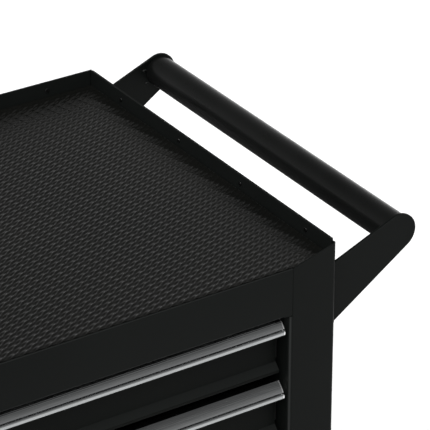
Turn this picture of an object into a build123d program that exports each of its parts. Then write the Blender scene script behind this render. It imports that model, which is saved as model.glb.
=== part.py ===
from build123d import *

import os
from math import acos, atan2, cos, radians, sin

# A rolling tool chest of folded steel sheet: five drawers on telescopic slides, a matted top tray, a push
# handle on the right, a central lock in the left corner post, and four casters.
# Millimetres. +X is the handle side, +Y the back, +Z up. The origin is on the floor, at the footprint's centre.

os.makedirs("parts", exist_ok=True)

# ---------------------------------------------------------------- driving dimensions

CABINET_WIDTH = 676.0
CABINET_DEPTH = 457.0
BODY_HEIGHT = 719.0
CASTER_HEIGHT = 160.0
HANDLE_REACH = 98.0        # how far the push handle stands out from the right side
LOCK_PROUD = 2.5           # how far the lock's bezel stands out from the front
DRAWER_PITCHES = (71.5, 71.5, 107.25, 143.0, 214.5)
DRAWER_TRAVEL = 380.0

SHEET = 1.2                # cabinet sheet
BEND = 3.0                 # inner radius of the cabinet's folds
DRAWER_SHEET = 1.0
EPS = 1.0                  # how far a cutting tool runs past what it cuts

# Top tray and rails, measured down from the top edge
LIP_HEIGHT = 15.0          # lip above the mat, whose face is level with the top rail
MAT_THICKNESS = 3.0
RAIL_TOP = 15.0            # upper edge of the top rail
RAIL_BOTTOM = 66.0         # lower edge of the top rail
RAIL_RETURN = 30.0
HEM_HEIGHT = 10.0
TRAY_FLANGE = 20.0

# Corner posts
POST_WIDTH = 53.5
POST_RETURN = 40.0         # depth of the post's inner return
POST_SEAM = 50.4           # from the outer face to the seam with the rails
RELIEF = 1.5               # bend relief above and below the return
CORNER_FLAT = 5.0          # the post's level top at the outer corner
CORNER_DROP = 2.0
REAR_FLANGE = 20.0
PANEL_FLANGE = 25.0        # upturned edge of the bottom panel

# Drawers, measured from the frame's front face and down from the top of the drawer's bay
DRAWER_SIDE_GAP = 58.0     # from the cabinet's side to the end of the drawer front
DRAWER_RECESS = 17.0
FRONT_TOP_GAP = 5.7
FRONT_BOTTOM_GAP = 3.5
KICK = 6.5                 # how far the lower edge of the front kicks forward
KICK_RISE = 7.0
KICK_LIP = 3.5
BOX_LENGTH = 405.0
BOX_TOP = 12.0
BOX_FLOOR = 7.0            # floor above the front's lower edge
LINER = 2.0

# Slides: depth across the three members, and their half heights
SLIDE_DEPTH = 12.7
SLIDE_START = 22.0
SLIDE_LENGTH = DRAWER_TRAVEL + 20
SLIDE_DROP = 40.0          # slide's centre below the top of the bay
SLIDE_METAL = 1.2

# Push handle, measured from the right face, the front face and the top edge
TUBE_RADIUS = 16.8
TUBE_WALL = 1.5
TUBE_X = 78.5
TUBE_DROP = 17.0
BRACKET_PLATE = 3.0
BRACKET_END_RADIUS = HANDLE_REACH - TUBE_X
BRACKET_FRONT = 6.0
BRACKET_BACK = 448.0
BRACKET_UPPER_DROP = 28.0
BRACKET_LOWER_DROP = 94.0
BRACKET_FLANGE = 40.0
HANDLE_BOLT_DROPS = (44.0, 80.0)

# Lock
LOCK_X = 27.0              # from the left face
LOCK_DROP = 47.0
CRANK_RADIUS = 7.0
CRANK_PIN_RADIUS = 2.0
CRANK_SLACK = 0.35         # clearance of the crank pin in the bar's slot
LOCK_TRAVEL = 2 * CRANK_RADIUS * sin(radians(45))
TAB_HEIGHT = 6.0
TAB_DROP = 17.0            # centre of a drawer's catch below the top of its bay

# Casters
WHEEL_RADIUS = 63.5
TYRE_WIDTH = 32.0
HUB_RADIUS = 50.0
AXLE_RADIUS = 6.0
RUNNING_GAP = 0.05
LEG_INNER = 21.0
LEG_PLATE = 3.0
TRAIL = 35.0               # swivel offset
PLATE_SIZE = (100.0, 76.0, 3.0)
PLATE_BOLTS = (40.0, 28.0)
CASTER_INSET_X = 78.0
CASTER_INSET_Y = 62.0

# ---------------------------------------------------------------- places worked out from them

LEFT = -(CABINET_WIDTH + HANDLE_REACH) / 2
RIGHT = LEFT + CABINET_WIDTH
MIDDLE = (LEFT + RIGHT) / 2
FRONT = -(CABINET_DEPTH - LOCK_PROUD) / 2
BACK = FRONT + CABINET_DEPTH
BASE = CASTER_HEIGHT
TOP = BASE + BODY_HEIGHT
TRAY_FLOOR = TOP - LIP_HEIGHT - MAT_THICKNESS
OPENING_TOP = TOP - RAIL_BOTTOM
OPENING_BOTTOM = OPENING_TOP - sum(DRAWER_PITCHES)
POST_FACE = RIGHT - POST_WIDTH
SEAM = RIGHT - POST_SEAM
BAY_TOPS = [OPENING_TOP - sum(DRAWER_PITCHES[:n]) for n in range(len(DRAWER_PITCHES))]
TUBE_CENTRE = (RIGHT + TUBE_X, TOP - TUBE_DROP)
LOCK_CENTRE = (LEFT + LOCK_X, TOP - LOCK_DROP)
SIDE_RIVETS_Y = [FRONT + 49.4 + 114.5 * n for n in range(4)]
BACK_RIVETS_X = [RIGHT - 57.0 - 140.5 * n for n in range(5)]
RIVET_Z = TOP - 9.5
FIXED_X = LEFT + CASTER_INSET_X
SWIVEL_X = RIGHT - CASTER_INSET_X
CASTER_YS = {"front": FRONT + CASTER_INSET_Y, "rear": BACK - CASTER_INSET_Y}
KINGPIN_HEAD = BASE - 22   # underside of the kingpin's head
RACE_TOP = BASE - 9        # lower face of the upper ball race
BRAKE_PIVOT = (SWIVEL_X - TRAIL - 11, KINGPIN_HEAD - 2)

# ---------------------------------------------------------------- helpers


def box(x0, x1, y0, y1, z0, z1):
    """A block between two corners."""
    return Pos((x0 + x1) / 2, (y0 + y1) / 2, (z0 + z1) / 2) * Box(x1 - x0, y1 - y0, z1 - z0)


def stand(section, z0, z1):
    """A section in plan, raised from z0 to z1."""
    return extrude(Pos(0, 0, z0) * section, z1 - z0, dir=(0, 0, 1))


def along_x(section, x0, x1):
    """A section drawn as (y, z), run from x0 to x1."""
    return extrude(Plane.YZ.offset(x0) * section, x1 - x0, dir=(1, 0, 0))


def along_y(section, y0, y1):
    """A section drawn as (x, z), run from y0 to y1."""
    return extrude(Plane.XZ.offset(-y0) * section, y1 - y0, dir=(0, 1, 0))


def rod_x(y, z, radius, x0, x1):
    return along_x(Pos(y, z) * Circle(radius), x0, x1)


def rod_y(x, z, radius, y0, y1):
    return along_y(Pos(x, z) * Circle(radius), y0, y1)


def rod_z(x, y, radius, z0, z1):
    return stand(Pos(x, y) * Circle(radius), z0, z1)


def folded(points, thickness=SHEET, bend=BEND):
    """Section of a sheet folded along the points of its centre line."""
    return trace(FilletPolyline(*points, radius=bend + thickness / 2), thickness)


def outline(*points):
    return Polygon(*points, align=None)


def mirrored(shape):
    """The same piece on the other side of the cabinet."""
    return mirror(shape, about=Plane.YZ.offset(MIDDLE))


def group(shapes):
    """Several separate solids that share a node."""
    return Compound(children=[solid for shape in shapes for solid in shape.solids()])


def tangent_point(point, centre, radius, side):
    """Where the line from a point touches a circle; side 1 is to the left as seen from the point, -1 right."""
    dx, dy = centre[0] - point[0], centre[1] - point[1]
    distance = (dx * dx + dy * dy) ** 0.5
    angle = atan2(-dy, -dx) - side * acos(radius / distance)
    return centre[0] + radius * cos(angle), centre[1] + radius * sin(angle)


def tangent_plate(upper, lower, centre, radius):
    """A plate from the edge between two points to a round end, with both edges tangent to it."""
    body = outline(upper, lower, tangent_point(lower, centre, radius, -1), centre,
                   tangent_point(upper, centre, radius, 1))
    return body + Pos(*centre) * Circle(radius)


# ---------------------------------------------------------------- cabinet shell


def tray_rivets():
    """Blind rivets through the tray's lips and the panels behind them, with their heads inside the tray."""
    shank, head, height = 1.6, 2.4, 0.9
    rivets = []
    for y in SIDE_RIVETS_Y:
        right = rod_x(y, RIVET_Z, shank, RIGHT - 2 * SHEET, RIGHT)
        right += rod_x(y, RIVET_Z, head, RIGHT - 2 * SHEET - height, RIGHT - 2 * SHEET)
        rivets += [right, mirrored(right)]
    for x in BACK_RIVETS_X:
        back = rod_y(x, RIVET_Z, shank, BACK - 2 * SHEET, BACK)
        back += rod_y(x, RIVET_Z, head, BACK - 2 * SHEET - height, BACK - 2 * SHEET)
        rivets.append(back)
    return group(rivets)


def side_panel():
    """Right side: one sheet folded round the front corner post, with the post's return and a rear flange."""
    half = SHEET / 2
    flange_y = BACK - SHEET - half
    panel = stand(folded([(POST_FACE + half, FRONT + POST_RETURN),
                          (POST_FACE + half, FRONT + half),
                          (RIGHT - half, FRONT + half),
                          (RIGHT - half, flange_y),
                          (RIGHT - REAR_FLANGE, flange_y)]), BASE, TOP)
    # The return is cut away behind both rails.
    for z0, z1 in ((OPENING_TOP - RELIEF, TOP + EPS), (BASE - EPS, OPENING_BOTTOM + RELIEF)):
        panel -= box(POST_FACE - EPS, SEAM, FRONT - EPS, FRONT + POST_RETURN + EPS, z0, z1)
    # The post's top runs up from the rail to the corner, and a slit parts it from the lip behind.
    slit_y = FRONT + SHEET + BEND + 1.3
    slope = outline((POST_FACE - EPS, TOP - RAIL_TOP), (SEAM, TOP - RAIL_TOP),
                    (RIGHT - CORNER_FLAT, TOP - CORNER_DROP), (RIGHT + EPS, TOP - CORNER_DROP),
                    (RIGHT + EPS, TOP + EPS), (POST_FACE - EPS, TOP + EPS))
    panel -= along_y(slope, FRONT - EPS, slit_y)
    panel -= box(RIGHT - CORNER_FLAT, RIGHT + EPS, slit_y - EPS, slit_y + RELIEF, TOP - 6, TOP + EPS)
    # The rear flange leaves room for the tray and for the bottom panel.
    for z0, z1 in ((TRAY_FLOOR - 5, TOP + EPS), (BASE - EPS, BASE + PANEL_FLANGE + EPS)):
        panel -= box(RIGHT - REAR_FLANGE - EPS, RIGHT - SHEET, BACK - 3 * SHEET - BEND, BACK, z0, z1)
    return panel


def side_panel_right():
    panel = side_panel()
    for y in handle_bolt_places():
        for drop in HANDLE_BOLT_DROPS:
            panel -= rod_x(y, TOP - drop, 3.0, RIGHT - SHEET - EPS, RIGHT + EPS)
    return panel - tray_rivets()


def side_panel_left():
    """The same panel mirrored, with the lock's hole in its post and a slot for each of the bar's tabs."""
    panel = mirrored(side_panel()) - rod_y(*LOCK_CENTRE, 9.5, FRONT - EPS, FRONT + SHEET + EPS)
    for bay in BAY_TOPS:
        locked = bay - TAB_DROP - TAB_HEIGHT / 2 - EPS
        free = bay - TAB_DROP + LOCK_TRAVEL + TAB_HEIGHT / 2 + EPS
        panel -= box(LEFT + POST_SEAM, LEFT + POST_WIDTH + EPS, FRONT + 21, FRONT + 29,
                     locked, min(free, OPENING_TOP - RELIEF - EPS))
    return panel - tray_rivets()


def back_panel():
    """Flat back with three pressed-in stiffening beads; its top stands behind the tray's rear lip."""
    panel = box(LEFT + 0.4, RIGHT - 0.4, BACK - SHEET, BACK, BASE, TOP)
    bead_radius = 6.0
    for z in (BASE + 180, BASE + 360, BASE + 540):
        half_bead = Pos(0, 0, z) * Rot(0, 90, 0)
        ridge = Pos(MIDDLE, BACK + 2.5, 0) * half_bead * Cylinder(bead_radius + SHEET, 480)
        groove = Pos(MIDDLE, BACK + 2.5, 0) * half_bead * Cylinder(bead_radius, 480 - 2 * SHEET)
        ridge &= box(LEFT, RIGHT, BACK - 10, BACK, z - 20, z + 20)
        panel = panel + ridge - groove
    return panel - tray_rivets()


def top_tray():
    """Pan with upturned lips on three sides and a downturned front edge behind the top rail."""
    x0, x1 = LEFT + SHEET, RIGHT - SHEET
    y0, y1 = FRONT + SHEET + BEND + 1.3, BACK - SHEET
    under = TRAY_FLOOR - SHEET
    front_x0, front_x1 = LEFT + POST_SEAM + 5, SEAM - 5
    behind_hem = FRONT + 2 * SHEET
    tray = box(x0, x1, y0, y1, under, TRAY_FLOOR)
    tray += box(front_x0, front_x1, behind_hem, y0, under, TRAY_FLOOR)
    tray += box(front_x0, front_x1, behind_hem, behind_hem + SHEET, under - TRAY_FLANGE, TRAY_FLOOR)
    tray += box(x0, x0 + SHEET, y0 + RELIEF, y1, under, TOP)
    tray += box(x1 - SHEET, x1, y0 + RELIEF, y1, under, TOP)
    tray += box(x0, x1, y1 - SHEET, y1, under, TOP)
    # The lips meet at the rear corners with a narrow open seam.
    for x in (x0 + SHEET, x1 - SHEET - 0.8):
        tray -= box(x, x + 0.8, y1 - SHEET - EPS, y1 + EPS, TRAY_FLOOR, TOP + EPS)
    return tray - tray_rivets()


def tray_mat():
    edge = 2 * SHEET + 1.0
    plan = Pos(MIDDLE, (FRONT + 2 * SHEET + 0.6 + BACK - edge) / 2) * RectangleRounded(
        CABINET_WIDTH - 2 * edge, CABINET_DEPTH - edge - 2 * SHEET - 0.6, 4.0)
    mat = stand(plan, TRAY_FLOOR, TRAY_FLOOR + MAT_THICKNESS)
    # It is notched round the front posts.
    for x0, x1 in ((LEFT, LEFT + POST_SEAM + 1), (SEAM - 1, RIGHT)):
        mat -= box(x0, x1, FRONT, FRONT + SHEET + BEND + 1.3, TRAY_FLOOR - EPS, TOP)
    return mat


def front_top_rail():
    """Rail between the posts: hemmed upper edge, and a lower edge returned under the tray."""
    y, z0, z1 = FRONT + SHEET / 2, OPENING_TOP + SHEET / 2, TOP - RAIL_TOP
    face = box(LEFT + POST_SEAM + 0.4, SEAM - 0.4, FRONT, FRONT + SHEET, OPENING_TOP + BEND, z1)
    hem = box(LEFT + POST_SEAM + 0.4, SEAM - 0.4, FRONT + SHEET, FRONT + 2 * SHEET, z1 - HEM_HEIGHT, z1)
    lower = along_x(folded([(y, OPENING_TOP + 14), (y, z0), (FRONT + RAIL_RETURN, z0),
                            (FRONT + RAIL_RETURN, z0 + 9)], bend=1.0), LEFT + POST_SEAM + 10, SEAM - 10)
    rail = face + hem + lower
    # Outside the return, the face runs down to the opening at both ends.
    rail += box(LEFT + POST_SEAM + 0.4, LEFT + POST_SEAM + 10, FRONT, FRONT + SHEET, OPENING_TOP, z1)
    rail += box(SEAM - 10, SEAM - 0.4, FRONT, FRONT + SHEET, OPENING_TOP, z1)
    upper = rail.edges().filter_by(Axis.X).group_by(Axis.Z)[-1]
    return fillet(upper, SHEET * 0.9)


def front_bottom_rail():
    """Rail below the drawers, with its upper edge returned."""
    y, z1 = FRONT + SHEET / 2, OPENING_BOTTOM - SHEET / 2
    return along_x(folded([(y, BASE), (y, z1), (FRONT + RAIL_RETURN, z1), (FRONT + RAIL_RETURN, z1 - 9)],
                          bend=1.0), LEFT + POST_SEAM + 0.4, SEAM - 0.4)


def bottom_panel():
    """Floor pan with upturned edges, which the casters bolt to."""
    x0, x1 = LEFT + SHEET, RIGHT - SHEET
    y0, y1 = FRONT + SHEET, BACK - SHEET
    post_y = FRONT + SHEET + BEND + 1.3
    top = BASE + PANEL_FLANGE
    pan = box(x0, x1, y0, y1, BASE, top) - box(x0 + SHEET, x1 - SHEET, y0 + SHEET, y1 - SHEET, BASE + SHEET, top + EPS)
    for corner in (x0, SEAM - 5):
        pan -= box(corner - EPS, corner + POST_SEAM + 5 - SHEET + EPS, y0 - EPS, post_y, BASE - EPS, top + EPS)
    for x, y in caster_bolt_places():
        pan -= rod_z(x, y, 4.0, BASE - EPS, BASE + SHEET + EPS)
    return pan


def slide_column():
    """Upright hat channel at the right rear, which carries the slides' rear ends."""
    inner, outer = POST_FACE + SHEET / 2, RIGHT - SHEET * 1.5
    y0, y1, foot = BACK - 62, BACK - 26, 14.0
    return stand(folded([(outer, y0 - foot), (outer, y0), (inner, y0), (inner, y1), (outer, y1),
                         (outer, y1 + foot)], bend=1.5), BASE + PANEL_FLANGE + EPS, OPENING_TOP)


# ---------------------------------------------------------------- push handle


def handle_bolt_places():
    return FRONT + BRACKET_FRONT + BRACKET_FLANGE - 14, FRONT + BRACKET_BACK - BRACKET_FLANGE + 14


def handle_bracket(y0, flange_y0, flange_y1):
    """Plate with a round end that holds the tube, and a flange that bolts to the side panel."""
    plate = tangent_plate((RIGHT, TOP - BRACKET_UPPER_DROP), (RIGHT, TOP - BRACKET_LOWER_DROP),
                          TUBE_CENTRE, BRACKET_END_RADIUS)
    bracket = along_y(plate, y0, y0 + BRACKET_PLATE)
    bracket += box(RIGHT, RIGHT + BRACKET_PLATE, flange_y0, flange_y1,
                   TOP - BRACKET_LOWER_DROP, TOP - BRACKET_UPPER_DROP)
    for y in handle_bolt_places():
        for drop in HANDLE_BOLT_DROPS:
            bracket -= rod_x(y, TOP - drop, 3.0, RIGHT - EPS, RIGHT + BRACKET_PLATE + EPS)
    return bracket


def handle_bracket_front():
    y0 = FRONT + BRACKET_FRONT
    return handle_bracket(y0, y0, y0 + BRACKET_FLANGE)


def handle_bracket_rear():
    y1 = FRONT + BRACKET_BACK
    return handle_bracket(y1 - BRACKET_PLATE, y1 - BRACKET_FLANGE, y1)


def handle_tube():
    y0, y1 = FRONT + BRACKET_FRONT + BRACKET_PLATE, FRONT + BRACKET_BACK - BRACKET_PLATE
    return rod_y(*TUBE_CENTRE, TUBE_RADIUS, y0, y1) - rod_y(*TUBE_CENTRE, TUBE_RADIUS - TUBE_WALL, y0, y1)


def handle_bolts():
    """Button-head bolts through the bracket flanges, with hexagon nuts inside the cabinet."""
    bolts = []
    inside, outside = RIGHT - SHEET, RIGHT + BRACKET_PLATE
    for y in handle_bolt_places():
        for drop in HANDLE_BOLT_DROPS:
            z = TOP - drop
            head = fillet(rod_x(y, z, 6.0, outside, outside + 3.5).edges().sort_by(Axis.X)[-1], 2.4)
            head -= along_x(Pos(y, z) * RegularPolygon(2.3, 6), outside + 1.6, outside + 3.5 + EPS)
            nut = along_x(Pos(y, z) * RegularPolygon(5.8, 6), inside - 5, inside)
            bolts.append(head + nut + rod_x(y, z, 3.0, inside - 7, outside))
    return group(bolts)


# ---------------------------------------------------------------- slides


def channel(half_height, web, edge, metal=SLIDE_METAL):
    """Section of a slide member as (depth from the mounting face, height): a web and two flanges."""
    outer = outline((web, -half_height), (edge, -half_height), (edge, half_height), (web, half_height))
    step = metal if edge > web else -metal
    lower, upper = -half_height + metal, half_height - metal
    past = edge + step
    return outer - outline((web + step, lower), (past, lower), (past, upper), (web + step, upper))


def slide_member(section, bay):
    """One right-hand and one left-hand member of a drawer's slides."""
    place = Pos(POST_FACE, 0, bay - SLIDE_DROP)
    y0 = FRONT + SLIDE_START
    right = place * along_y(mirror(section, about=Plane.YZ), y0, y0 + SLIDE_LENGTH)
    return [right, mirrored(right)]


def slide_outer_members():
    section = channel(17.5, 0.0, 11.0)
    return group([member for bay in BAY_TOPS for member in slide_member(section, bay)])


def slide_middle(bay):
    return group(slide_member(channel(14.2, 4.5, 10.8), bay))


def slide_inner(bay):
    return group(slide_member(channel(11.0, SLIDE_DEPTH, 8.0), bay))


# ---------------------------------------------------------------- drawers


def drawer_box(bay, pitch):
    """Front with a kicked lower edge, box, rolled rims, and a catch for the lock on the left side."""
    bottom = bay - pitch + FRONT_BOTTOM_GAP
    face_y = FRONT + DRAWER_RECESS
    half = DRAWER_SHEET / 2
    kick_y = face_y - KICK
    front = folded([(face_y + half, bay - FRONT_TOP_GAP),
                    (face_y + half, bottom + KICK_LIP + KICK_RISE),
                    (kick_y + half, bottom + KICK_LIP),
                    (kick_y + half, bottom + half),
                    (face_y + 12, bottom + half)], DRAWER_SHEET, 1.0)
    drawer = along_x(front, LEFT + DRAWER_SIDE_GAP, RIGHT - DRAWER_SIDE_GAP)
    x0, x1 = LEFT + POST_WIDTH + SLIDE_DEPTH, POST_FACE - SLIDE_DEPTH
    y0, y1 = face_y, face_y + DRAWER_SHEET + BOX_LENGTH
    floor, rim = bottom + BOX_FLOOR, bay - BOX_TOP
    drawer += box(x0, x1, y0 + half, y1, floor, rim)
    drawer -= box(x0 + DRAWER_SHEET, x1 - DRAWER_SHEET, y0 + DRAWER_SHEET, y1 - DRAWER_SHEET,
                  floor + DRAWER_SHEET, rim + EPS)
    hem, hem_height = 2.2 * DRAWER_SHEET, 7.0
    drawer += box(x0, x0 + hem, y0 + half, y1, rim - hem_height, rim)
    drawer += box(x1 - hem, x1, y0 + half, y1, rim - hem_height, rim)
    drawer += box(x0, x1, y1 - hem, y1, rim - hem_height, rim)
    catch_z = bay - TAB_DROP
    drawer += box(LEFT + DRAWER_SIDE_GAP - 1, x0 + half, FRONT + 30, FRONT + 31.5,
                  catch_z - TAB_HEIGHT / 2, catch_z + TAB_HEIGHT / 2)
    return drawer


def drawer_liner(bay, pitch):
    floor = bay - pitch + FRONT_BOTTOM_GAP + BOX_FLOOR + DRAWER_SHEET
    edge = DRAWER_SHEET + 1.0
    x0 = LEFT + POST_WIDTH + SLIDE_DEPTH + edge
    x1 = POST_FACE - SLIDE_DEPTH - edge
    y0 = FRONT + DRAWER_RECESS + edge
    return box(x0, x1, y0, y0 + BOX_LENGTH + DRAWER_SHEET - 2 * edge, floor, floor + LINER)


def drawer_pull(bay):
    """Aluminium extrusion that clips over the drawer front and curls forward to a finger lip."""
    with BuildSketch() as section:
        with BuildLine():
            top = Line((19.4, -12.0), (19.4, -4.2))
            flat = Line(top @ 1, (14.4, -4.8))
            crest = ThreePointArc(flat @ 1, (7.2, -8.4), (1.5, -13.8))
            lip = ThreePointArc(crest @ 1, (0.6, -17.4), (2.0, -21.0))
            tip = Line(lip @ 1, (3.5, -20.4))
            inner_lip = ThreePointArc(tip @ 1, (2.2, -17.3), (3.0, -14.4))
            under = ThreePointArc(inner_lip @ 1, (8.1, -9.8), (14.4, -6.5))
            Polyline(under @ 1, (15.4, -6.5), (15.4, -23.0), (17.0, -23.0), (17.0, -5.7), (18.0, -5.7),
                     (18.0, -12.0), top @ 0)
        make_face()
    return Pos(0, FRONT, bay) * along_x(section.sketch, LEFT + DRAWER_SIDE_GAP, RIGHT - DRAWER_SIDE_GAP)


# ---------------------------------------------------------------- lock


def lock_housing():
    """Barrel through the left post, with a bezel in front and a nut behind."""
    housing = rod_y(*LOCK_CENTRE, 9.5, FRONT, FRONT + 18)
    bezel = rod_y(*LOCK_CENTRE, 12.0, FRONT - LOCK_PROUD, FRONT)
    housing += fillet(bezel.edges().sort_by(Axis.Y)[0], 1.5)
    nut = along_y(Pos(*LOCK_CENTRE) * RegularPolygon(14.0, 6), FRONT + SHEET, FRONT + SHEET + 4)
    return housing + nut - rod_y(*LOCK_CENTRE, 6.5 + RUNNING_GAP, FRONT - LOCK_PROUD - EPS, FRONT + 18 + EPS)


def lock_core():
    """Turning core with a keyway, and a crank behind it whose pin works in the lock bar's slot."""
    x, z = LOCK_CENTRE
    reach = CRANK_RADIUS * cos(radians(45))
    pin = (x + reach, z + reach)
    core = rod_y(x, z, 6.5, FRONT - LOCK_PROUD, FRONT + 19)
    core -= box(x - 0.8, x + 0.8, FRONT - LOCK_PROUD - EPS, FRONT + 5, z - 3.6, z + 3.6)
    arm = Pos((x + pin[0]) / 2, (z + pin[1]) / 2) * Rot(0, 0, 45) * SlotCenterToCenter(CRANK_RADIUS, 9.0)
    core += along_y(arm, FRONT + 19, FRONT + 22)
    return core + rod_y(*pin, CRANK_PIN_RADIUS, FRONT + 22, FRONT + 29)


def lock_bar():
    """Upright strip in the left post: a slotted lug for the crank pin, and a tab for each drawer's catch."""
    x0, x1 = LEFT + POST_WIDTH - SHEET - 2.5, LEFT + POST_WIDTH - SHEET - 0.5
    lug_z = LOCK_CENTRE[1] + CRANK_RADIUS * cos(radians(45))
    bar = box(x0, x1, FRONT + 19, FRONT + 31, BAY_TOPS[-1] - TAB_DROP - 10, lug_z + 6)
    bar += box(LOCK_CENTRE[0], x1, FRONT + 24, FRONT + 26, lug_z - 6, lug_z + 6)
    slot_x0 = LOCK_CENTRE[0] + CRANK_RADIUS * cos(radians(45)) - 0.6
    slot_x1 = LOCK_CENTRE[0] + CRANK_RADIUS + 0.6
    slot = Pos((slot_x0 + slot_x1) / 2, lug_z) * SlotCenterToCenter(
        slot_x1 - slot_x0, 2 * (CRANK_PIN_RADIUS + CRANK_SLACK))
    bar -= along_y(slot, FRONT + 24 - EPS, FRONT + 26 + EPS)
    for bay in BAY_TOPS:
        z = bay - TAB_DROP + LOCK_TRAVEL
        bar += box(x1 - 0.5, LEFT + 61, FRONT + 22, FRONT + 28, z - TAB_HEIGHT / 2, z + TAB_HEIGHT / 2)
    return bar


# ---------------------------------------------------------------- casters


def caster_bolt_places():
    dx, dy = PLATE_BOLTS
    return [(x + sx * dx, y + sy * dy) for x in (FIXED_X, SWIVEL_X) for y in CASTER_YS.values()
            for sx in (-1, 1) for sy in (-1, 1)]


def caster_plate(x, y):
    length, width, thickness = PLATE_SIZE
    plate = stand(Pos(x, y) * RectangleRounded(length, width, 8.0), BASE - thickness, BASE)
    for bolt_x, bolt_y in caster_bolt_places():
        plate -= rod_z(bolt_x, bolt_y, 4.0, BASE - thickness - EPS, BASE + EPS)
    return plate


def fork_legs(x, y, half_top, top, axle_x, hole, ear=None):
    """Two legs that taper from the fork's crown to round ends at the axle."""
    end_radius = 14.0
    axle = (axle_x, WHEEL_RADIUS)
    left, right = (x - half_top, top), (x + half_top, top)
    leg = outline(left, tangent_point(left, axle, end_radius, -1), axle,
                  tangent_point(right, axle, end_radius, 1), right)
    leg += Pos(*axle) * Circle(end_radius)
    if ear:
        leg += outline(left, (ear[0], ear[1] + 7), ear, (axle_x - end_radius, WHEEL_RADIUS), axle, (x, top))
        leg += Pos(*ear) * Circle(7.0)
        leg -= Pos(*ear) * Circle(3.0 + RUNNING_GAP)
    leg -= Pos(*axle) * Circle(hole)
    legs = [along_y(leg, y + side * LEG_INNER - (LEG_PLATE if side < 0 else 0),
                    y + side * LEG_INNER + (LEG_PLATE if side > 0 else 0)) for side in (-1, 1)]
    return legs[0] + legs[1]


def caster_axle(x, y):
    """Axle bolt with a hexagon head and a nut outside the fork's legs."""
    outer = LEG_INNER + LEG_PLATE
    hexagon = Pos(x, WHEEL_RADIUS) * RegularPolygon(10.5, 6)
    axle = rod_y(x, WHEEL_RADIUS, AXLE_RADIUS, y - outer - 6, y + outer + 9)
    return axle + along_y(hexagon, y - outer - 6, y - outer) + along_y(hexagon, y + outer, y + outer + 7)


def fixed_caster_forks():
    forks = []
    for y in CASTER_YS.values():
        under = BASE - PLATE_SIZE[2]
        crown = box(FIXED_X - 30, FIXED_X + 30, y - LEG_INNER - LEG_PLATE, y + LEG_INNER + LEG_PLATE, under - 3, under)
        forks.append(caster_plate(FIXED_X, y) + crown + fork_legs(FIXED_X, y, 30, under, FIXED_X, AXLE_RADIUS))
    return group(forks)


def caster_bolts():
    """Plate bolts with their heads below the plates and nuts in the pan, and the fixed wheels' axles."""
    under = BASE - PLATE_SIZE[2]
    bolts = []
    for x, y in caster_bolt_places():
        head = stand(Pos(x, y) * RegularPolygon(7.5, 6), under - 5.3, under)
        nut = stand(Pos(x, y) * RegularPolygon(7.5, 6), BASE + SHEET, BASE + SHEET + 6.5)
        bolts.append(head + nut + rod_z(x, y, 4.0, under, BASE + SHEET + 9))
    return group(bolts + [caster_axle(FIXED_X, y) for y in CASTER_YS.values()])


def swivel_caster_plates():
    """Mounting plate, upper ball race and kingpin of each swivel caster."""
    plates = []
    for y in CASTER_YS.values():
        plate = caster_plate(SWIVEL_X, y) + rod_z(SWIVEL_X, y, 24.0, RACE_TOP, BASE - PLATE_SIZE[2])
        plate += rod_z(SWIVEL_X, y, AXLE_RADIUS, KINGPIN_HEAD, RACE_TOP)
        plate += stand(Pos(SWIVEL_X, y) * RegularPolygon(11.0, 6), KINGPIN_HEAD, KINGPIN_HEAD + 4.5)
        plates.append(plate)
    return group(plates)


def swivel_fork(side):
    """Lower ball race, crown, and legs raked back to the axle, with ears for the brake pedal's pivot."""
    y = CASTER_YS[side]
    crown_top, crown_under = KINGPIN_HEAD + 9, KINGPIN_HEAD + 5
    outer = LEG_INNER + LEG_PLATE
    fork = box(SWIVEL_X - 24, SWIVEL_X + 24, y - outer, y + outer, crown_under, crown_top)
    fork += rod_z(SWIVEL_X, y, 22.0, crown_top, RACE_TOP - 0.5)
    fork -= rod_z(SWIVEL_X, y, AXLE_RADIUS + RUNNING_GAP, crown_under - EPS, RACE_TOP)
    return fork + fork_legs(SWIVEL_X, y, 24, crown_top, SWIVEL_X - TRAIL, AXLE_RADIUS, BRAKE_PIVOT)


def brake_pedal(side):
    """Foot pedal with two trunnions in the fork's ears and a shoe above the tyre."""
    x, z = BRAKE_PIVOT
    y = CASTER_YS[side]
    plate = fillet(outline((x + 5, z + 4), (x + 5, z + 7), (x - 24, z + 7), (x - 46, z + 3), (x - 46, z),
                           (x - 24, z + 4)).vertices().group_by(Axis.X)[0], 1.2)
    pedal = along_y(plate, y - 17, y + 17)
    for y0, y1 in ((y - LEG_INNER + 1, y - LEG_INNER + 4), (y + LEG_INNER - 4, y + LEG_INNER - 1)):
        cheek = outline((x - 12, z + 7), (x + 5, z + 7), (x + 5, z - 3), (x - 4, z - 4)) + Pos(x, z) * Circle(5)
        pedal += along_y(cheek, y0, y1)
    pedal += rod_y(x, z, 3.0, y - LEG_INNER - LEG_PLATE - 1, y - LEG_INNER + 1.5)
    pedal += rod_y(x, z, 3.0, y + LEG_INNER - 1.5, y + LEG_INNER + LEG_PLATE + 1)
    return pedal + box(x - 16, x - 8, y - 12, y + 12, z - 9, z + 5)


def wheel_tyre(x, y):
    """Rubber tyre with rounded shoulders."""
    half = TYRE_WIDTH / 2
    section = outline((HUB_RADIUS, -half), (WHEEL_RADIUS, -half), (WHEEL_RADIUS, half), (HUB_RADIUS, half))
    section = fillet(section.vertices().group_by(Axis.X)[-1], 7.0)
    tyre = revolve(section, Axis.Y)
    return Pos(x, y, WHEEL_RADIUS) * tyre


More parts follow.
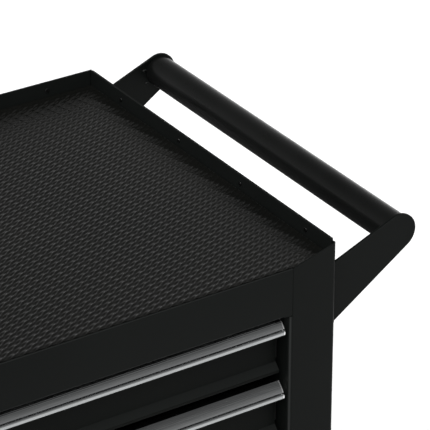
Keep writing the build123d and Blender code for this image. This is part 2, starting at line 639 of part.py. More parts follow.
def wheel_hub(x, y):
    """Moulded wheel centre: rim, web, ribs and a boss that runs on the axle."""
    boss_half = LEG_INNER - 0.5
    hub = rod_y(0, 0, HUB_RADIUS, -15, 15) - rod_y(0, 0, HUB_RADIUS - 5, -15, -3.5) - rod_y(
        0, 0, HUB_RADIUS - 5, 3.5, 15)
    hub += rod_y(0, 0, 14.0, -boss_half, boss_half)
    for n in range(8):
        hub += Rot(0, 45 * n, 0) * box(12, HUB_RADIUS - 3, -12, 12, -1.6, 1.6)
    hub -= rod_y(0, 0, AXLE_RADIUS + RUNNING_GAP, -boss_half - EPS, boss_half + EPS)
    return Pos(x, y, WHEEL_RADIUS) * hub


# ---------------------------------------------------------------- the assembly


def assembly():
    nodes = {
        "side_panel_left": side_panel_left(),
        "side_panel_right": side_panel_right(),
        "back_panel": back_panel(),
        "bottom_panel": bottom_panel(),
        "top_tray": top_tray(),
        "tray_mat": tray_mat(),
        "tray_rivets": tray_rivets(),
        "front_top_rail": front_top_rail(),
        "front_bottom_rail": front_bottom_rail(),
        "slide_columns": group([slide_column(), mirrored(slide_column())]),
        "slide_outer_members": slide_outer_members(),
        "handle_tube": handle_tube(),
        "handle_bracket_front": handle_bracket_front(),
        "handle_bracket_rear": handle_bracket_rear(),
        "handle_bolts": handle_bolts(),
        "lock_housing": lock_housing(),
        "lock_core": lock_core(),
        "lock_bar": lock_bar(),
        "fixed_caster_forks": fixed_caster_forks(),
        "swivel_caster_plates": swivel_caster_plates(),
        "caster_bolts": caster_bolts(),
    }
    for n, (bay, pitch) in enumerate(zip(BAY_TOPS, DRAWER_PITCHES), 1):
        nodes[f"drawer_{n}_box"] = drawer_box(bay, pitch)
        nodes[f"drawer_{n}_pull"] = drawer_pull(bay)
        nodes[f"drawer_{n}_liner"] = drawer_liner(bay, pitch)
        nodes[f"drawer_{n}_slide_inner"] = slide_inner(bay)
        nodes[f"drawer_{n}_slide_middle"] = slide_middle(bay)
    for side, y in CASTER_YS.items():
        axle_x = SWIVEL_X - TRAIL
        nodes[f"swivel_fork_{side}"] = swivel_fork(side)
        nodes[f"swivel_axle_{side}"] = caster_axle(axle_x, y)
        nodes[f"brake_pedal_{side}"] = brake_pedal(side)
        for name, x in (("left", FIXED_X), ("right", axle_x)):
            nodes[f"wheel_{name}_{side}_hub"] = wheel_hub(x, y)
            nodes[f"wheel_{name}_{side}_tyre"] = wheel_tyre(x, y)
    return nodes


for node, shape in assembly().items():
    export_step(shape, f"parts/{node}.step")
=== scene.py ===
from math import cos, hypot, pi, radians, sin

import bmesh
import bpy
from mathutils import Matrix, Vector


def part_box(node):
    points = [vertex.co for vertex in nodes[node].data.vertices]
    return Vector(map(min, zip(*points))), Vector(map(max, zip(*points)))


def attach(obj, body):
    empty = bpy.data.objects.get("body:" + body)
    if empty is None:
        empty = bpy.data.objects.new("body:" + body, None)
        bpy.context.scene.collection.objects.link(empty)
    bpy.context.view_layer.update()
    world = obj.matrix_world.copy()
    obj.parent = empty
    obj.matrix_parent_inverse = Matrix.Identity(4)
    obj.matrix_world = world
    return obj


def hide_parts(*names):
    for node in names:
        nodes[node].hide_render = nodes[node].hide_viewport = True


# Looks of a black rolling tool chest: softened sheet-metal edges, an embossed rubber mat, ribbed aluminium
# pulls, weld tacks, lined drawers, and procedural finishes. Metres, in the CAD frame; MM turns millimetres
# into metres. +X is the handle side, +Y the back, +Z up.

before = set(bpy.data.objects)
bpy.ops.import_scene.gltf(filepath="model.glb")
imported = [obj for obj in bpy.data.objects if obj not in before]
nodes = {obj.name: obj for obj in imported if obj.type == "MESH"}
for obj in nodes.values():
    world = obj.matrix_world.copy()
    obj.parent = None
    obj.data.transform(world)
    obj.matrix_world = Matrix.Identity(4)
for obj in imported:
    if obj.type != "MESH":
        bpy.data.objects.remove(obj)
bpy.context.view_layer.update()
MM = 0.001

# ---------------------------------------------------------------- driving values

CAMERA_OFFSET = Vector((-1.364, -1.881, 1.277))   # from the cabinet's right front top corner
CAMERA_TILT = 28.29                               # degrees below level
CAMERA_TURN = -33.07                              # degrees about the vertical
CAMERA_LENS = 232.5
SENSOR = 36.0

FLOOR_HALF = 40.0
FLOOR_WHITE = 0.92
SUN_STRENGTH = 4.2
SUN_SPREAD = 45.0          # degrees across
SUN_FROM = Vector((-0.40, -0.42, 0.80))
SKY = (                    # height of the ray and its brightness
    (0.00, 0.95), (0.10, 0.80), (0.25, 0.50), (0.47, 0.38), (0.64, 0.20), (0.77, 0.13), (1.00, 0.10),
)

EDGE_ANGLE = 34.0          # edges sharper than this are rounded, in degrees
SHEET_EDGE = 0.30 * MM
FLAT_ANGLE = 0.3           # faces that meet at less than this are one flat face, in degrees
SAME_PLACE = 1e-6          # metres
CLAMPED = ("front_top_rail", "side_panel_left", "side_panel_right", "lock_bar")

# Mat: wavy ridges along the diagonals of a slanted lattice, with a pit and a small bump in every cell
CELL_ALONG = 13.0 * MM     # from one ridge to the next along X
CELL_ROW = 6.6 * MM        # from one row to the next along Y
CELL_SLANT = 11.0 * MM     # how far a ridge moves along X in one row
CELL_STEPS = (7, 4)        # faces across a ridge and along it, in one cell
RELIEF = 1.5 * MM
MAT_MARGIN = 1.2 * MM      # taken off the CAD mat all round
MAT_SMOOTH = 60.0          # the mat's edges below this angle are shaded smooth, in degrees
RELIEF_WAVES = (           # waves across the ridges, waves along them, size, phase in degrees
    (1, 0, 1.0, 0),        # the ridges
    (2, 0, 1.0, 270),      # a small bump between them
    (0, 1, 1.0, 180),      # the rows
    (1, 1, 1.0, 180),      # the slant of each pit
)

# Pull: section measured back from its lip and up from its top, in millimetres
PULL_BACK = (18.8, -7.8)
PULL_FLANGE = ((18.8, 0.0), (10.4, -0.2))
PULL_FACE = ((10.4, -0.2), (5.5, -4.5), (1.6, -9.6))
PULL_GROOVE = ((4.2, -9.9), (4.4, -12.2))
PULL_LIP = ((1.3, -11.1), (0.0, -13.9), (1.4, -16.8))
PULL_LIP_BACK = ((2.9, -16.4), (4.0, -14.6), (6.0, -12.4))
PULL_UNDER = ((6.0, -12.4), (9.9, -6.3), (13.8, -2.0))
PULL_CLIP = ((14.8, -2.0), (14.8, -18.8), (16.4, -18.8), (16.4, -1.5), (17.4, -1.5), (17.4, -7.8))
FLANGE_RIBS = 4
FACE_RIBS = 5
RIB_DEPTH = 0.05
FACE_STEPS = 60            # pieces of the face's arc, of which the first RIBBED_STEPS carry ribs
RIBBED_STEPS = 37
FLANGE_STEPS = 32
PULL_SMOOTH = 40.0         # degrees
PULL_END_EDGE = 0.4 * MM
SAWN_END = 1.1 * MM        # width of the bright band at the cut ends

# Tabs that close the notch between the tray's side lips and the front corners
TAB_THICK = 1.1 * MM
TAB_LENGTH = 4.5 * MM
TAB_DROP = 1.4 * MM        # how far a tab stays below the lip's upper edge

# Weld tacks around the ends of the handle's tube: direction from its centre, in degrees
TACKS = (167, 215)
TACK_REACH = 2.8 * MM      # from the tube's face to the tack's middle
TACK_SIZE = Vector((2.6, 1.4, 1.8)) * MM

# Finishes: features per metre of each noise, and depths of each bump
COAT_TONE = 6
COAT_GLOSS = 24
COAT_PEEL = 420
COAT_GRAIN = 1900
PEEL_DEPTH = 0.03 * MM
GRAIN_DEPTH = 0.006 * MM
PEBBLES = 300
PEBBLE_DEPTH = 0.6 * MM
FINE_GRAIN_DEPTH = 0.02 * MM
COARSE_GRAIN_DEPTH = 0.04 * MM
# The painted edge highlight: where it begins and where it is full, by the largest part of the normal
ROUNDING = (0.93, 0.74)    # largest part of the normal: where a rounding begins, and where it is full
TUBE_TURN = (-0.2, 0.5)    # upward part of the normal, from where the tube is dull to where it is glossy
TUBE_DULL = 0.75

# ---------------------------------------------------------------- material helpers


def new_material(name, color, roughness, metallic=0.0, specular=0.5):
    """A material with one Principled shader, and its constants set on the shader itself."""
    material = bpy.data.materials.new(name)
    material.use_nodes = True
    shader = material.node_tree.nodes["Principled BSDF"]
    shader.inputs["Base Color"].default_value = (*color, 1.0)
    shader.inputs["Roughness"].default_value = roughness
    shader.inputs["Metallic"].default_value = metallic
    shader.inputs["Specular IOR Level"].default_value = specular
    return material, shader


def noise(material, per_metre, detail=2.0, stretch=(1.0, 1.0, 1.0)):
    """Noise with that many features per metre of the object, stretched along its axes."""
    tree = material.node_tree
    place = tree.nodes.new("ShaderNodeTexCoord")
    mapping = tree.nodes.new("ShaderNodeMapping")
    mapping.inputs["Scale"].default_value = stretch
    texture = tree.nodes.new("ShaderNodeTexNoise")
    texture.inputs["Scale"].default_value = per_metre
    texture.inputs["Detail"].default_value = detail
    tree.links.new(place.outputs["Object"], mapping.inputs["Vector"])
    tree.links.new(mapping.outputs["Vector"], texture.inputs["Vector"])
    return texture.outputs["Fac"]


def spread(material, value, low, high, start=0.35, end=0.65):
    """Maps a noise value onto a range."""
    node = material.node_tree.nodes.new("ShaderNodeMapRange")
    node.inputs["From Min"].default_value = start
    node.inputs["From Max"].default_value = end
    node.inputs["To Min"].default_value = low
    node.inputs["To Max"].default_value = high
    material.node_tree.links.new(value, node.inputs["Value"])
    return node.outputs["Result"]


def vary_roughness(material, shader, value, low, high):
    material.node_tree.links.new(spread(material, value, low, high), shader.inputs["Roughness"])


def vary_color(material, shader, value, dark, light, start=0.35, end=0.65):
    """Blends the base colour between two tones."""
    tree = material.node_tree
    mix = tree.nodes.new("ShaderNodeMix")
    mix.data_type = "RGBA"
    mix.inputs["A"].default_value = (*dark, 1.0)
    mix.inputs["B"].default_value = (*light, 1.0)
    tree.links.new(spread(material, value, 0.0, 1.0, start, end), mix.inputs["Factor"])
    tree.links.new(mix.outputs["Result"], shader.inputs["Base Color"])


def tint(material, shader, share, tone):
    """Blends a further tone over the base colour."""
    tree = material.node_tree
    mix = tree.nodes.new("ShaderNodeMix")
    mix.data_type = "RGBA"
    mix.inputs["B"].default_value = (*tone, 1.0)
    tree.links.new(shader.inputs["Base Color"].links[0].from_socket, mix.inputs["A"])
    tree.links.new(share, mix.inputs["Factor"])
    tree.links.new(mix.outputs["Result"], shader.inputs["Base Color"])


def add_bump(material, shader, value, distance, strength=1.0):
    """Bump of that depth in metres, on top of any that the shader already has."""
    tree = material.node_tree
    bump = tree.nodes.new("ShaderNodeBump")
    bump.inputs["Distance"].default_value = distance
    bump.inputs["Strength"].default_value = strength
    tree.links.new(value, bump.inputs["Height"])
    before = shader.inputs["Normal"].links
    if before:
        tree.links.new(before[0].from_socket, bump.inputs["Normal"])
    tree.links.new(bump.outputs["Normal"], shader.inputs["Normal"])


# ---------------------------------------------------------------- materials


def edge_highlight_mask(material):
    """0 on faces square to the object's axes, 1 on the roundings between them: the mask of the painted edge
    highlight.
    """
    tree = material.node_tree
    geometry = tree.nodes.new("ShaderNodeNewGeometry")
    size = tree.nodes.new("ShaderNodeVectorMath")
    size.operation = "ABSOLUTE"
    split = tree.nodes.new("ShaderNodeSeparateXYZ")
    tree.links.new(geometry.outputs["Normal"], size.inputs[0])
    tree.links.new(size.outputs["Vector"], split.inputs["Vector"])
    largest = split.outputs["X"]
    for axis in ("Y", "Z"):
        pick = tree.nodes.new("ShaderNodeMath")
        pick.operation = "MAXIMUM"
        tree.links.new(largest, pick.inputs[0])
        tree.links.new(split.outputs[axis], pick.inputs[1])
        largest = pick.outputs["Value"]
    return spread(material, largest, 0.0, 1.0, *ROUNDING)


def powder_coat(name, dark, light, rough, specular, edge=None):
    """Satin powder coat: faint orange peel, slow changes of tone and gloss, and a painted highlight that
    makes the rounded edges paler.
    """
    material, shader = new_material(name, dark, rough[0], specular=specular)
    vary_color(material, shader, noise(material, COAT_TONE, 3), dark, light)
    vary_roughness(material, shader, noise(material, COAT_GLOSS, 4), *rough)
    add_bump(material, shader, noise(material, COAT_PEEL, 2), PEEL_DEPTH)
    add_bump(material, shader, noise(material, COAT_GRAIN, 2), GRAIN_DEPTH)
    # Painted highlight: the roundings get the paler edge tone, standing in for the light that the bends
    # catch
    if edge:
        tint(material, shader, edge_highlight_mask(material), edge)
    return material


def mat_rubber():
    """Charcoal rubber, a little paler and warmer where it has been handled."""
    material, shader = new_material("mat", (0.004, 0.004, 0.004), 0.3, specular=0.22)
    dark, light = (0.0038, 0.0040, 0.0036), (0.0052, 0.0052, 0.0046)
    vary_color(material, shader, noise(material, 5, 3), dark, light)
    vary_roughness(material, shader, noise(material, 90, 3), 0.17, 0.25)
    add_bump(material, shader, noise(material, 1400, 3), FINE_GRAIN_DEPTH)
    return material


def liner_foam():
    """Closed-cell drawer liner with a pebbled face, and painted shade in the hollows between the pebbles."""
    material, shader = new_material("liner", (0.022, 0.023, 0.024), 0.8, specular=0.25)
    tree = material.node_tree
    place = tree.nodes.new("ShaderNodeTexCoord")
    pebbles = tree.nodes.new("ShaderNodeTexVoronoi")
    pebbles.inputs["Scale"].default_value = PEBBLES
    tree.links.new(place.outputs["Object"], pebbles.inputs["Vector"])
    pale, dark = (0.025, 0.026, 0.027), (0.014, 0.015, 0.016)
    # Painted shade: the hollows between the pebbles are coloured darker than their tops
    vary_color(material, shader, pebbles.outputs["Distance"], pale, dark, 0.1, 0.7)
    tint(material, shader, spread(material, noise(material, 160, 4), 0.0, 0.35), (0.034, 0.035, 0.036))
    vary_roughness(material, shader, noise(material, 240, 2), 0.72, 0.9)
    swell = spread(material, pebbles.outputs["Distance"], 1.0, 0.0, 0.0, 0.8)
    add_bump(material, shader, swell, PEBBLE_DEPTH)
    return material


def brushed_aluminium():
    """Satin anodised extrusion, with drawing lines along its length and bright sawn ends."""
    material, shader = new_material("pull", (0.38, 0.39, 0.40), 0.16, metallic=1.0)
    lines = noise(material, 30, 4, (1.0, 60.0, 60.0))
    vary_color(material, shader, lines, (0.32, 0.33, 0.335), (0.41, 0.42, 0.42))
    vary_roughness(material, shader, noise(material, 45, 3, (1.0, 30.0, 30.0)), 0.12, 0.20)
    add_bump(material, shader, lines, FINE_GRAIN_DEPTH)
    low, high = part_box("drawer_1_pull")
    tree = material.node_tree
    place = tree.nodes.new("ShaderNodeTexCoord")
    split = tree.nodes.new("ShaderNodeSeparateXYZ")
    from_middle = tree.nodes.new("ShaderNodeMath")
    from_middle.operation = "SUBTRACT"
    from_middle.inputs[1].default_value = (low.x + high.x) / 2
    reach = tree.nodes.new("ShaderNodeMath")
    reach.operation = "ABSOLUTE"
    tree.links.new(place.outputs["Object"], split.inputs["Vector"])
    tree.links.new(split.outputs["X"], from_middle.inputs[0])
    tree.links.new(from_middle.outputs["Value"], reach.inputs[0])
    half = (high.x - low.x) / 2
    ends = spread(material, reach.outputs["Value"], 0.0, 1.0, half - 1.5 * SAWN_END, half - SAWN_END)
    tint(material, shader, ends, (0.85, 0.86, 0.86))
    return material


def plated_steel(name, dark, light, rough, cells_per_metre=90):
    """Zinc plate: cloudy tone, patchy gloss and fine drawing marks."""
    material, shader = new_material(name, dark, rough[0], metallic=1.0)
    vary_color(material, shader, noise(material, cells_per_metre, 4), dark, light)
    vary_roughness(material, shader, noise(material, cells_per_metre * 2, 3), *rough)
    add_bump(material, shader, noise(material, 900, 3), FINE_GRAIN_DEPTH)
    return material


def moulded_plastic(name, dark, light, rough, specular=0.4):
    """Moulded plastic or rubber with a spark-eroded grain."""
    material, shader = new_material(name, dark, rough[0], specular=specular)
    vary_color(material, shader, noise(material, 40, 4), dark, light)
    vary_roughness(material, shader, noise(material, 160, 3), *rough)
    add_bump(material, shader, noise(material, 1500, 3), COARSE_GRAIN_DEPTH)
    return material


# Each paint's dark and light tone
PAINT = ((0.0030, 0.0036, 0.0033), (0.0038, 0.0045, 0.0041))
DRAWER_PAINT = ((0.0025, 0.0030, 0.0027), (0.0031, 0.0037, 0.0033))
TUBE_PAINT = ((0.0030, 0.0033, 0.0031), (0.0038, 0.0041, 0.0039))
# Painted light: the tray's black coat is about twice as light as the body's, standing in for light on its
# shaded inner lips
TRAY_LIT_PAINT = ((0.0060, 0.0068, 0.0064), (0.0074, 0.0084, 0.0079))
# Painted shade: the outer slides are near-black so the gap beside the drawers reads as dark shade
SLIDE_SHADE_PAINT = ((0.006, 0.006, 0.006), (0.009, 0.009, 0.009))
# Tones of the painted highlight on rounded edges, standing in for light caught by the bends
EDGE_HIGHLIGHT_TONE = (0.0180, 0.0190, 0.0185)
DRAWER_EDGE_HIGHLIGHT_TONE = (0.0080, 0.0088, 0.0084)

finishes = {
    "body_paint": powder_coat("body_paint", *PAINT, (0.42, 0.46), 0.05, EDGE_HIGHLIGHT_TONE),
    "drawer_paint": powder_coat("drawer_paint", *DRAWER_PAINT, (0.42, 0.46), 0.04, DRAWER_EDGE_HIGHLIGHT_TONE),
    "handle_paint": powder_coat("handle_paint", *PAINT, (0.40, 0.44), 0.05, EDGE_HIGHLIGHT_TONE),
    "mat": mat_rubber(),
    "liner": liner_foam(),
    "pull": brushed_aluminium(),
    "slide_steel": plated_steel("slide_steel", (0.46, 0.46, 0.45), (0.62, 0.62, 0.60), (0.28, 0.42)),
    "fastener": plated_steel("fastener", (0.38, 0.38, 0.37), (0.50, 0.50, 0.48), (0.30, 0.45), 160),
    "rivet": plated_steel("rivet", (0.035, 0.036, 0.036), (0.06, 0.06, 0.06), (0.30, 0.42), 300),
    "chrome": plated_steel("chrome", (0.70, 0.71, 0.72), (0.80, 0.81, 0.82), (0.10, 0.18), 60),
    "caster_steel": plated_steel("caster_steel", (0.40, 0.41, 0.40), (0.56, 0.56, 0.55), (0.30, 0.46)),
    "pedal": powder_coat("pedal", (0.009, 0.009, 0.009), (0.013, 0.013, 0.013), (0.42, 0.52), 0.3),
    "hub": moulded_plastic("hub", (0.042, 0.044, 0.047), (0.056, 0.058, 0.061), (0.42, 0.56)),
    "tyre": moulded_plastic("tyre", (0.010, 0.010, 0.010), (0.016, 0.016, 0.015), (0.60, 0.78), 0.3),
}


def polished_tube():
    """The tube's paint: polished by hands on top, dull below."""
    material = powder_coat("tube_gloss", *TUBE_PAINT, (0.24, 0.32), 0.16)
    tree = material.node_tree
    shader = tree.nodes["Principled BSDF"]
    geometry = tree.nodes.new("ShaderNodeNewGeometry")
    split = tree.nodes.new("ShaderNodeSeparateXYZ")
    tree.links.new(geometry.outputs["Normal"], split.inputs["Vector"])
    dull = spread(material, split.outputs["Z"], 1.0, 0.0, *TUBE_TURN)
    blend = tree.nodes.new("ShaderNodeMix")
    blend.inputs["B"].default_value = TUBE_DULL
    tree.links.new(dull, blend.inputs["Factor"])
    tree.links.new(shader.inputs["Roughness"].links[0].from_socket, blend.inputs["A"])
    tree.links.new(blend.outputs["Result"], shader.inputs["Roughness"])
    return material


tube_gloss = polished_tube()
# Painted light: the tray's coat is lighter than the body's, to brighten its shaded inner lips
tray_lit_paint = powder_coat("tray_lit_paint", *TRAY_LIT_PAINT, (0.42, 0.50), 0.05, EDGE_HIGHLIGHT_TONE)
# Painted shade on the outer slides, darkening the gap beside the drawers
slide_shade_paint = powder_coat("slide_shade_paint", *SLIDE_SHADE_PAINT, (0.35, 0.5), 0.2)


def finish_cad_nodes():
    """Gives each CAD node the finish of its own slot, apart from three nodes with a finish of their own."""
    for node in nodes.values():
        for index, old in enumerate(node.data.materials):
            slot = old.name.split(".")[0]
            node.data.materials[index] = finishes[slot]
    nodes["handle_tube"].data.materials[0] = tube_gloss
    # The outer slides get the near-black painted shade
    nodes["slide_outer_members"].data.materials[0] = slide_shade_paint
    # The tray gets the lighter coat with painted light
    nodes["top_tray"].data.materials[0] = tray_lit_paint


# ---------------------------------------------------------------- mesh helpers


def add_piece(name, mesh, body, slot, replaced=()):
    """Links a mesh as a piece that rides on a body."""
    piece = bpy.data.objects.new(name, mesh)
    bpy.context.scene.collection.objects.link(piece)
    mesh.materials.append(finishes[slot])
    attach(piece, body)
    if replaced:
        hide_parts(*replaced)
    return piece


def shade_by_angle(mesh, degrees=EDGE_ANGLE):
    mesh.shade_smooth()
    mesh.set_sharp_from_angle(angle=radians(degrees))


def soften(node, width):
    """Rounds a CAD node's sharp edges with modifiers and shades its curved faces smooth."""
    mesh = node.data
    if "custom_normal" in mesh.attributes:
        mesh.attributes.remove(mesh.attributes["custom_normal"])
    mesh.shade_smooth()
    weld = node.modifiers.new("Weld", "WELD")
    weld.merge_threshold = SAME_PLACE
    flat = node.modifiers.new("Flat faces", "DECIMATE")
    flat.decimate_type = "DISSOLVE"
    flat.angle_limit = radians(FLAT_ANGLE)
    bevel = node.modifiers.new("Edges", "BEVEL")
    bevel.width = width
    bevel.segments = 2
    bevel.limit_method = "ANGLE"
    bevel.angle_limit = radians(EDGE_ANGLE)
    bevel.use_clamp_overlap = node.name in CLAMPED
    bevel.harden_normals = True


def arc(points, count):
    """Points on the circle through three points, from the first to the last."""
    (ax, ay), (bx, by), (cx, cy) = points
    d = 2 * (ax * (by - cy) + bx * (cy - ay) + cx * (ay - by))
    a2, b2, c2 = ax * ax + ay * ay, bx * bx + by * by, cx * cx + cy * cy
    ux = (a2 * (by - cy) + b2 * (cy - ay) + c2 * (ay - by)) / d
    uy = (a2 * (cx - bx) + b2 * (ax - cx) + c2 * (bx - ax)) / d
    centre = Vector((ux, uy))
    first, last = Vector((ax, ay)) - centre, Vector((cx, cy)) - centre
    turn = first.angle_signed(last)
    found = []
    for n in range(count + 1):
        angle = -turn * n / count
        x = first.x * cos(angle) - first.y * sin(angle)
        y = first.x * sin(angle) + first.y * cos(angle)
        found.append((centre.x + x, centre.y + y))
    return found


def extrude_x(name, section, x0, x1, to_point):
    """A prism along X over a closed section, with its ends filled."""
    bm = bmesh.new()
    rings = []
    for x in (x0, x1):
        rings.append([bm.verts.new(to_point(x, *p)) for p in section])
    count = len(section)
    for n in range(count):
        bm.faces.new((rings[0][n], rings[0][(n + 1) % count], rings[1][(n + 1) % count], rings[1][n]))
    bm.faces.new(rings[0])
    bm.faces.new(rings[1])
    bmesh.ops.recalc_face_normals(bm, faces=bm.faces)
    mesh = bpy.data.meshes.new(name)
    bm.to_mesh(mesh)
    bm.free()
    return mesh


# ---------------------------------------------------------------- mat


def cell_heights():
    """Heights over one cell of the relief, from 0 in the pit to 1 on the ridge."""
    across, along = CELL_STEPS
    heights = {}
    for i in range(across):
        for j in range(along):
            height = 0.0
            for waves_across, waves_along, size, phase in RELIEF_WAVES:
                turns = waves_across * i / across + waves_along * j / along
                height += size * sin(2 * pi * turns + radians(phase))
            heights[i, j] = height
    low, high = min(heights.values()), max(heights.values())
    return {key: (value - low) / (high - low) for key, value in heights.items()}


def make_mat():
    """Rubber mat: a relief whose faces follow its ridges, cut off square at the mat's edges."""
    low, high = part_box("tray_mat")
    low += Vector((MAT_MARGIN, MAT_MARGIN, 0.0))
    high -= Vector((MAT_MARGIN, MAT_MARGIN, 0.0))
    across, along = CELL_STEPS
    heights = cell_heights()
    bm = bmesh.new()
    points = {}
    for j in range(int((high.y - low.y) / CELL_ROW * along) + 3):
        slant = CELL_SLANT * j / along
        first = int(-slant / CELL_ALONG * across) - across
        for i in range(first, first + int((high.x - low.x) / CELL_ALONG * across) + 2 * across):
            x = low.x + CELL_ALONG * i / across + slant
            y = low.y + CELL_ROW * (j - 1) / along
            rise = heights[i % across, j % along]
            points[i, j] = bm.verts.new((x, y, high.z - RELIEF * (1.0 - rise)))
    for (i, j), corner in points.items():
        others = [points.get(key) for key in ((i + 1, j), (i + 1, j + 1), (i, j + 1))]
        if None not in others:
            bm.faces.new((corner, *others))
    for edge, outward in ((low, (-1, 0, 0)), (low, (0, -1, 0)), (high, (1, 0, 0)), (high, (0, 1, 0))):
        everything = bm.verts[:] + bm.edges[:] + bm.faces[:]
        bmesh.ops.bisect_plane(bm, geom=everything, plane_co=edge, plane_no=outward, clear_outer=True)
    rim = [edge for edge in bm.edges if edge.is_boundary]
    wall = bmesh.ops.extrude_edge_only(bm, edges=rim)["geom"]
    for item in wall:
        if isinstance(item, bmesh.types.BMVert):
            item.co.z = low.z
    bmesh.ops.edgeloop_fill(bm, edges=[item for item in wall if isinstance(item, bmesh.types.BMEdge)])
    bmesh.ops.recalc_face_normals(bm, faces=bm.faces)
    mesh = bpy.data.meshes.new("rubber_mat")
    bm.to_mesh(mesh)
    bm.free()
    shade_by_angle(mesh, MAT_SMOOTH)
    add_piece("rubber_mat", mesh, "cabinet", "mat", ("tray_mat",))


# ---------------------------------------------------------------- tray corners


def make_corner_tabs():
    """A folded tab behind each front corner, where the tray's side lip ends."""
    low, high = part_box("top_tray")
    bm = bmesh.new()
    for x in (low.x + TAB_THICK / 2, high.x - TAB_THICK / 2):
        size = Vector((TAB_THICK, TAB_LENGTH, high.z - TAB_DROP - low.z))
        centre = Vector((x, low.y + TAB_LENGTH / 2, low.z + size.z / 2))
        bmesh.ops.create_cube(bm, size=1.0, matrix=Matrix.LocRotScale(centre, None, size))
    mesh = bpy.data.meshes.new("tray_corner_tabs")
    bm.to_mesh(mesh)
    bm.free()
    add_piece("tray_corner_tabs", mesh, "cabinet", "body_paint")


# ---------------------------------------------------------------- drawer pulls


def ribbed(points, ribs, depth):
    """Cuts rounded grooves across a run of points, into the metal on their right."""
    found = []
    count = len(points) - 1
    for n, (x, y) in enumerate(points):
        before, after = points[max(n - 1, 0)], points[min(n + 1, count)]
        length = hypot(after[0] - before[0], after[1] - before[1])
        normal = ((after[1] - before[1]) / length, -(after[0] - before[0]) / length)
        phase = n / count * ribs
        cut = depth * (0.5 - 0.5 * cos(2 * pi * phase)) ** 2
        found.append((x - normal[0] * cut, y - normal[1] * cut))
    return found


def straight(start, end, count):
    """Evenly spaced points from start to end."""
    return [tuple(Vector(start).lerp(end, n / count)) for n in range(count + 1)]


def pull_section():
    """The extrusion's outline: ribbed flange and face, a dark groove, a rounded lip, and the clip behind."""
    face = arc(PULL_FACE, FACE_STEPS)
    section = [PULL_BACK]
    section += ribbed(straight(*PULL_FLANGE, FLANGE_STEPS), FLANGE_RIBS, RIB_DEPTH)
    section += ribbed(face[:RIBBED_STEPS], FACE_RIBS, RIB_DEPTH)[1:] + face[RIBBED_STEPS:]
    section += PULL_GROOVE
    section += arc(PULL_LIP, 16)
    section += arc(PULL_LIP_BACK, 10)
    section += arc(PULL_UNDER, 16)[1:]
    section += PULL_CLIP
    return section


def make_pulls():
    """One pull for each drawer, with its sawn ends slightly rounded."""
    section = pull_section()
    for n in range(1, 6):
        low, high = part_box(f"drawer_{n}_pull")
        mesh = extrude_x(f"pull_{n}", section, low.x, high.x,
                         lambda x, back, up: (x, low.y + back * MM, high.z + up * MM))
        shade_by_angle(mesh, PULL_SMOOTH)
        ends = mesh.attributes.new("bevel_weight_edge", "FLOAT", "EDGE")
        for edge in mesh.edges:
            here, there = (mesh.vertices[v].co.x for v in edge.vertices)
            ends.data[edge.index].value = 1.0 if abs(here - there) < SAME_PLACE else 0.0
        piece = add_piece(f"pull_{n}", mesh, f"drawer_{n}", "pull", (f"drawer_{n}_pull",))
        bevel = piece.modifiers.new("Cut ends", "BEVEL")
        bevel.width = PULL_END_EDGE
        bevel.segments = 2
        bevel.limit_method = "WEIGHT"
        bevel.use_clamp_overlap = False


# ---------------------------------------------------------------- handle


def make_tacks():
    """Small weld tacks around the tube where it meets the inner face of each bracket plate."""
    tube_low, tube_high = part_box("handle_tube")
    centre = (tube_low + tube_high) / 2
    radius = (tube_high.x - tube_low.x) / 2
    for name, y in (("handle_bracket_front", tube_low.y), ("handle_bracket_rear", tube_high.y)):
        bm = bmesh.new()
        for turn in TACKS:
            reach = radius + TACK_REACH
            angle = radians(turn)
            place = Vector((centre.x + reach * cos(angle), y, centre.z + reach * sin(angle)))
            matrix = Matrix.LocRotScale(place, None, TACK_SIZE)
            bmesh.ops.create_icosphere(bm, subdivisions=3, radius=1.0, matrix=matrix)
        mesh = bpy.data.meshes.new(f"{name}_tacks")
        bm.to_mesh(mesh)
        bm.free()
        mesh.shade_smooth()
        add_piece(f"{name}_tacks", mesh, "cabinet", "handle_paint")


# ---------------------------------------------------------------- floor, light and camera


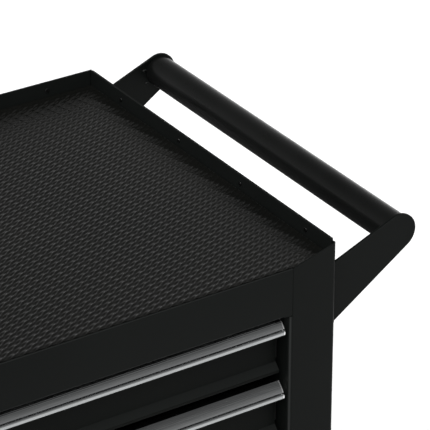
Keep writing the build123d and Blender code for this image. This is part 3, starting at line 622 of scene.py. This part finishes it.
def make_floor():
    bm = bmesh.new()
    bmesh.ops.create_grid(bm, x_segments=1, y_segments=1, size=FLOOR_HALF)
    mesh = bpy.data.meshes.new("floor")
    bm.to_mesh(mesh)
    bm.free()
    floor = bpy.data.objects.new("floor", mesh)
    bpy.context.scene.collection.objects.link(floor)
    material, shader = new_material("floor", (FLOOR_WHITE,) * 3, 0.9, specular=0.1)
    vary_roughness(material, shader, noise(material, 2, 2), 0.85, 0.95)
    mesh.materials.append(material)


def make_light():
    """One broad soft sun overhead, and a sky that is pale near the horizon and dim above."""
    sun = bpy.data.lights.new("sun", "SUN")
    sun.energy = SUN_STRENGTH
    sun.angle = radians(SUN_SPREAD)
    lamp = bpy.data.objects.new("sun", sun)
    lamp.rotation_euler = SUN_FROM.to_track_quat("Z", "Y").to_euler()
    bpy.context.scene.collection.objects.link(lamp)
    world = bpy.data.worlds.new("studio")
    world.use_nodes = True
    bpy.context.scene.world = world
    tree = world.node_tree
    place = tree.nodes.new("ShaderNodeTexCoord")
    split = tree.nodes.new("ShaderNodeSeparateXYZ")
    ramp = tree.nodes.new("ShaderNodeValToRGB")
    stops = ramp.color_ramp.elements
    while len(stops) < len(SKY):
        stops.new(0.5)
    for stop, (height, brightness) in zip(stops, SKY):
        stop.position = height
        stop.color = (brightness, brightness, brightness, 1.0)
    tree.links.new(place.outputs["Generated"], split.inputs["Vector"])
    tree.links.new(split.outputs["Z"], ramp.inputs["Fac"])
    tree.links.new(ramp.outputs["Color"], tree.nodes["Background"].inputs["Color"])


def make_camera():
    low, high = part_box("side_panel_right")
    data = bpy.data.cameras.new("camera")
    data.sensor_width = SENSOR
    data.lens = CAMERA_LENS
    data.clip_end = 100.0
    camera = bpy.data.objects.new("camera", data)
    camera.location = Vector((high.x, low.y, high.z)) + CAMERA_OFFSET
    camera.rotation_euler = (radians(90 - CAMERA_TILT), 0.0, radians(CAMERA_TURN))
    bpy.context.scene.collection.objects.link(camera)
    bpy.context.scene.camera = camera


# ---------------------------------------------------------------- the scene

bpy.context.scene.view_settings.view_transform = "Standard"
make_camera()
make_floor()
make_light()
finish_cad_nodes()
for cad_node in nodes.values():
    soften(cad_node, SHEET_EDGE)
make_mat()
make_corner_tabs()
make_pulls()
make_tacks()
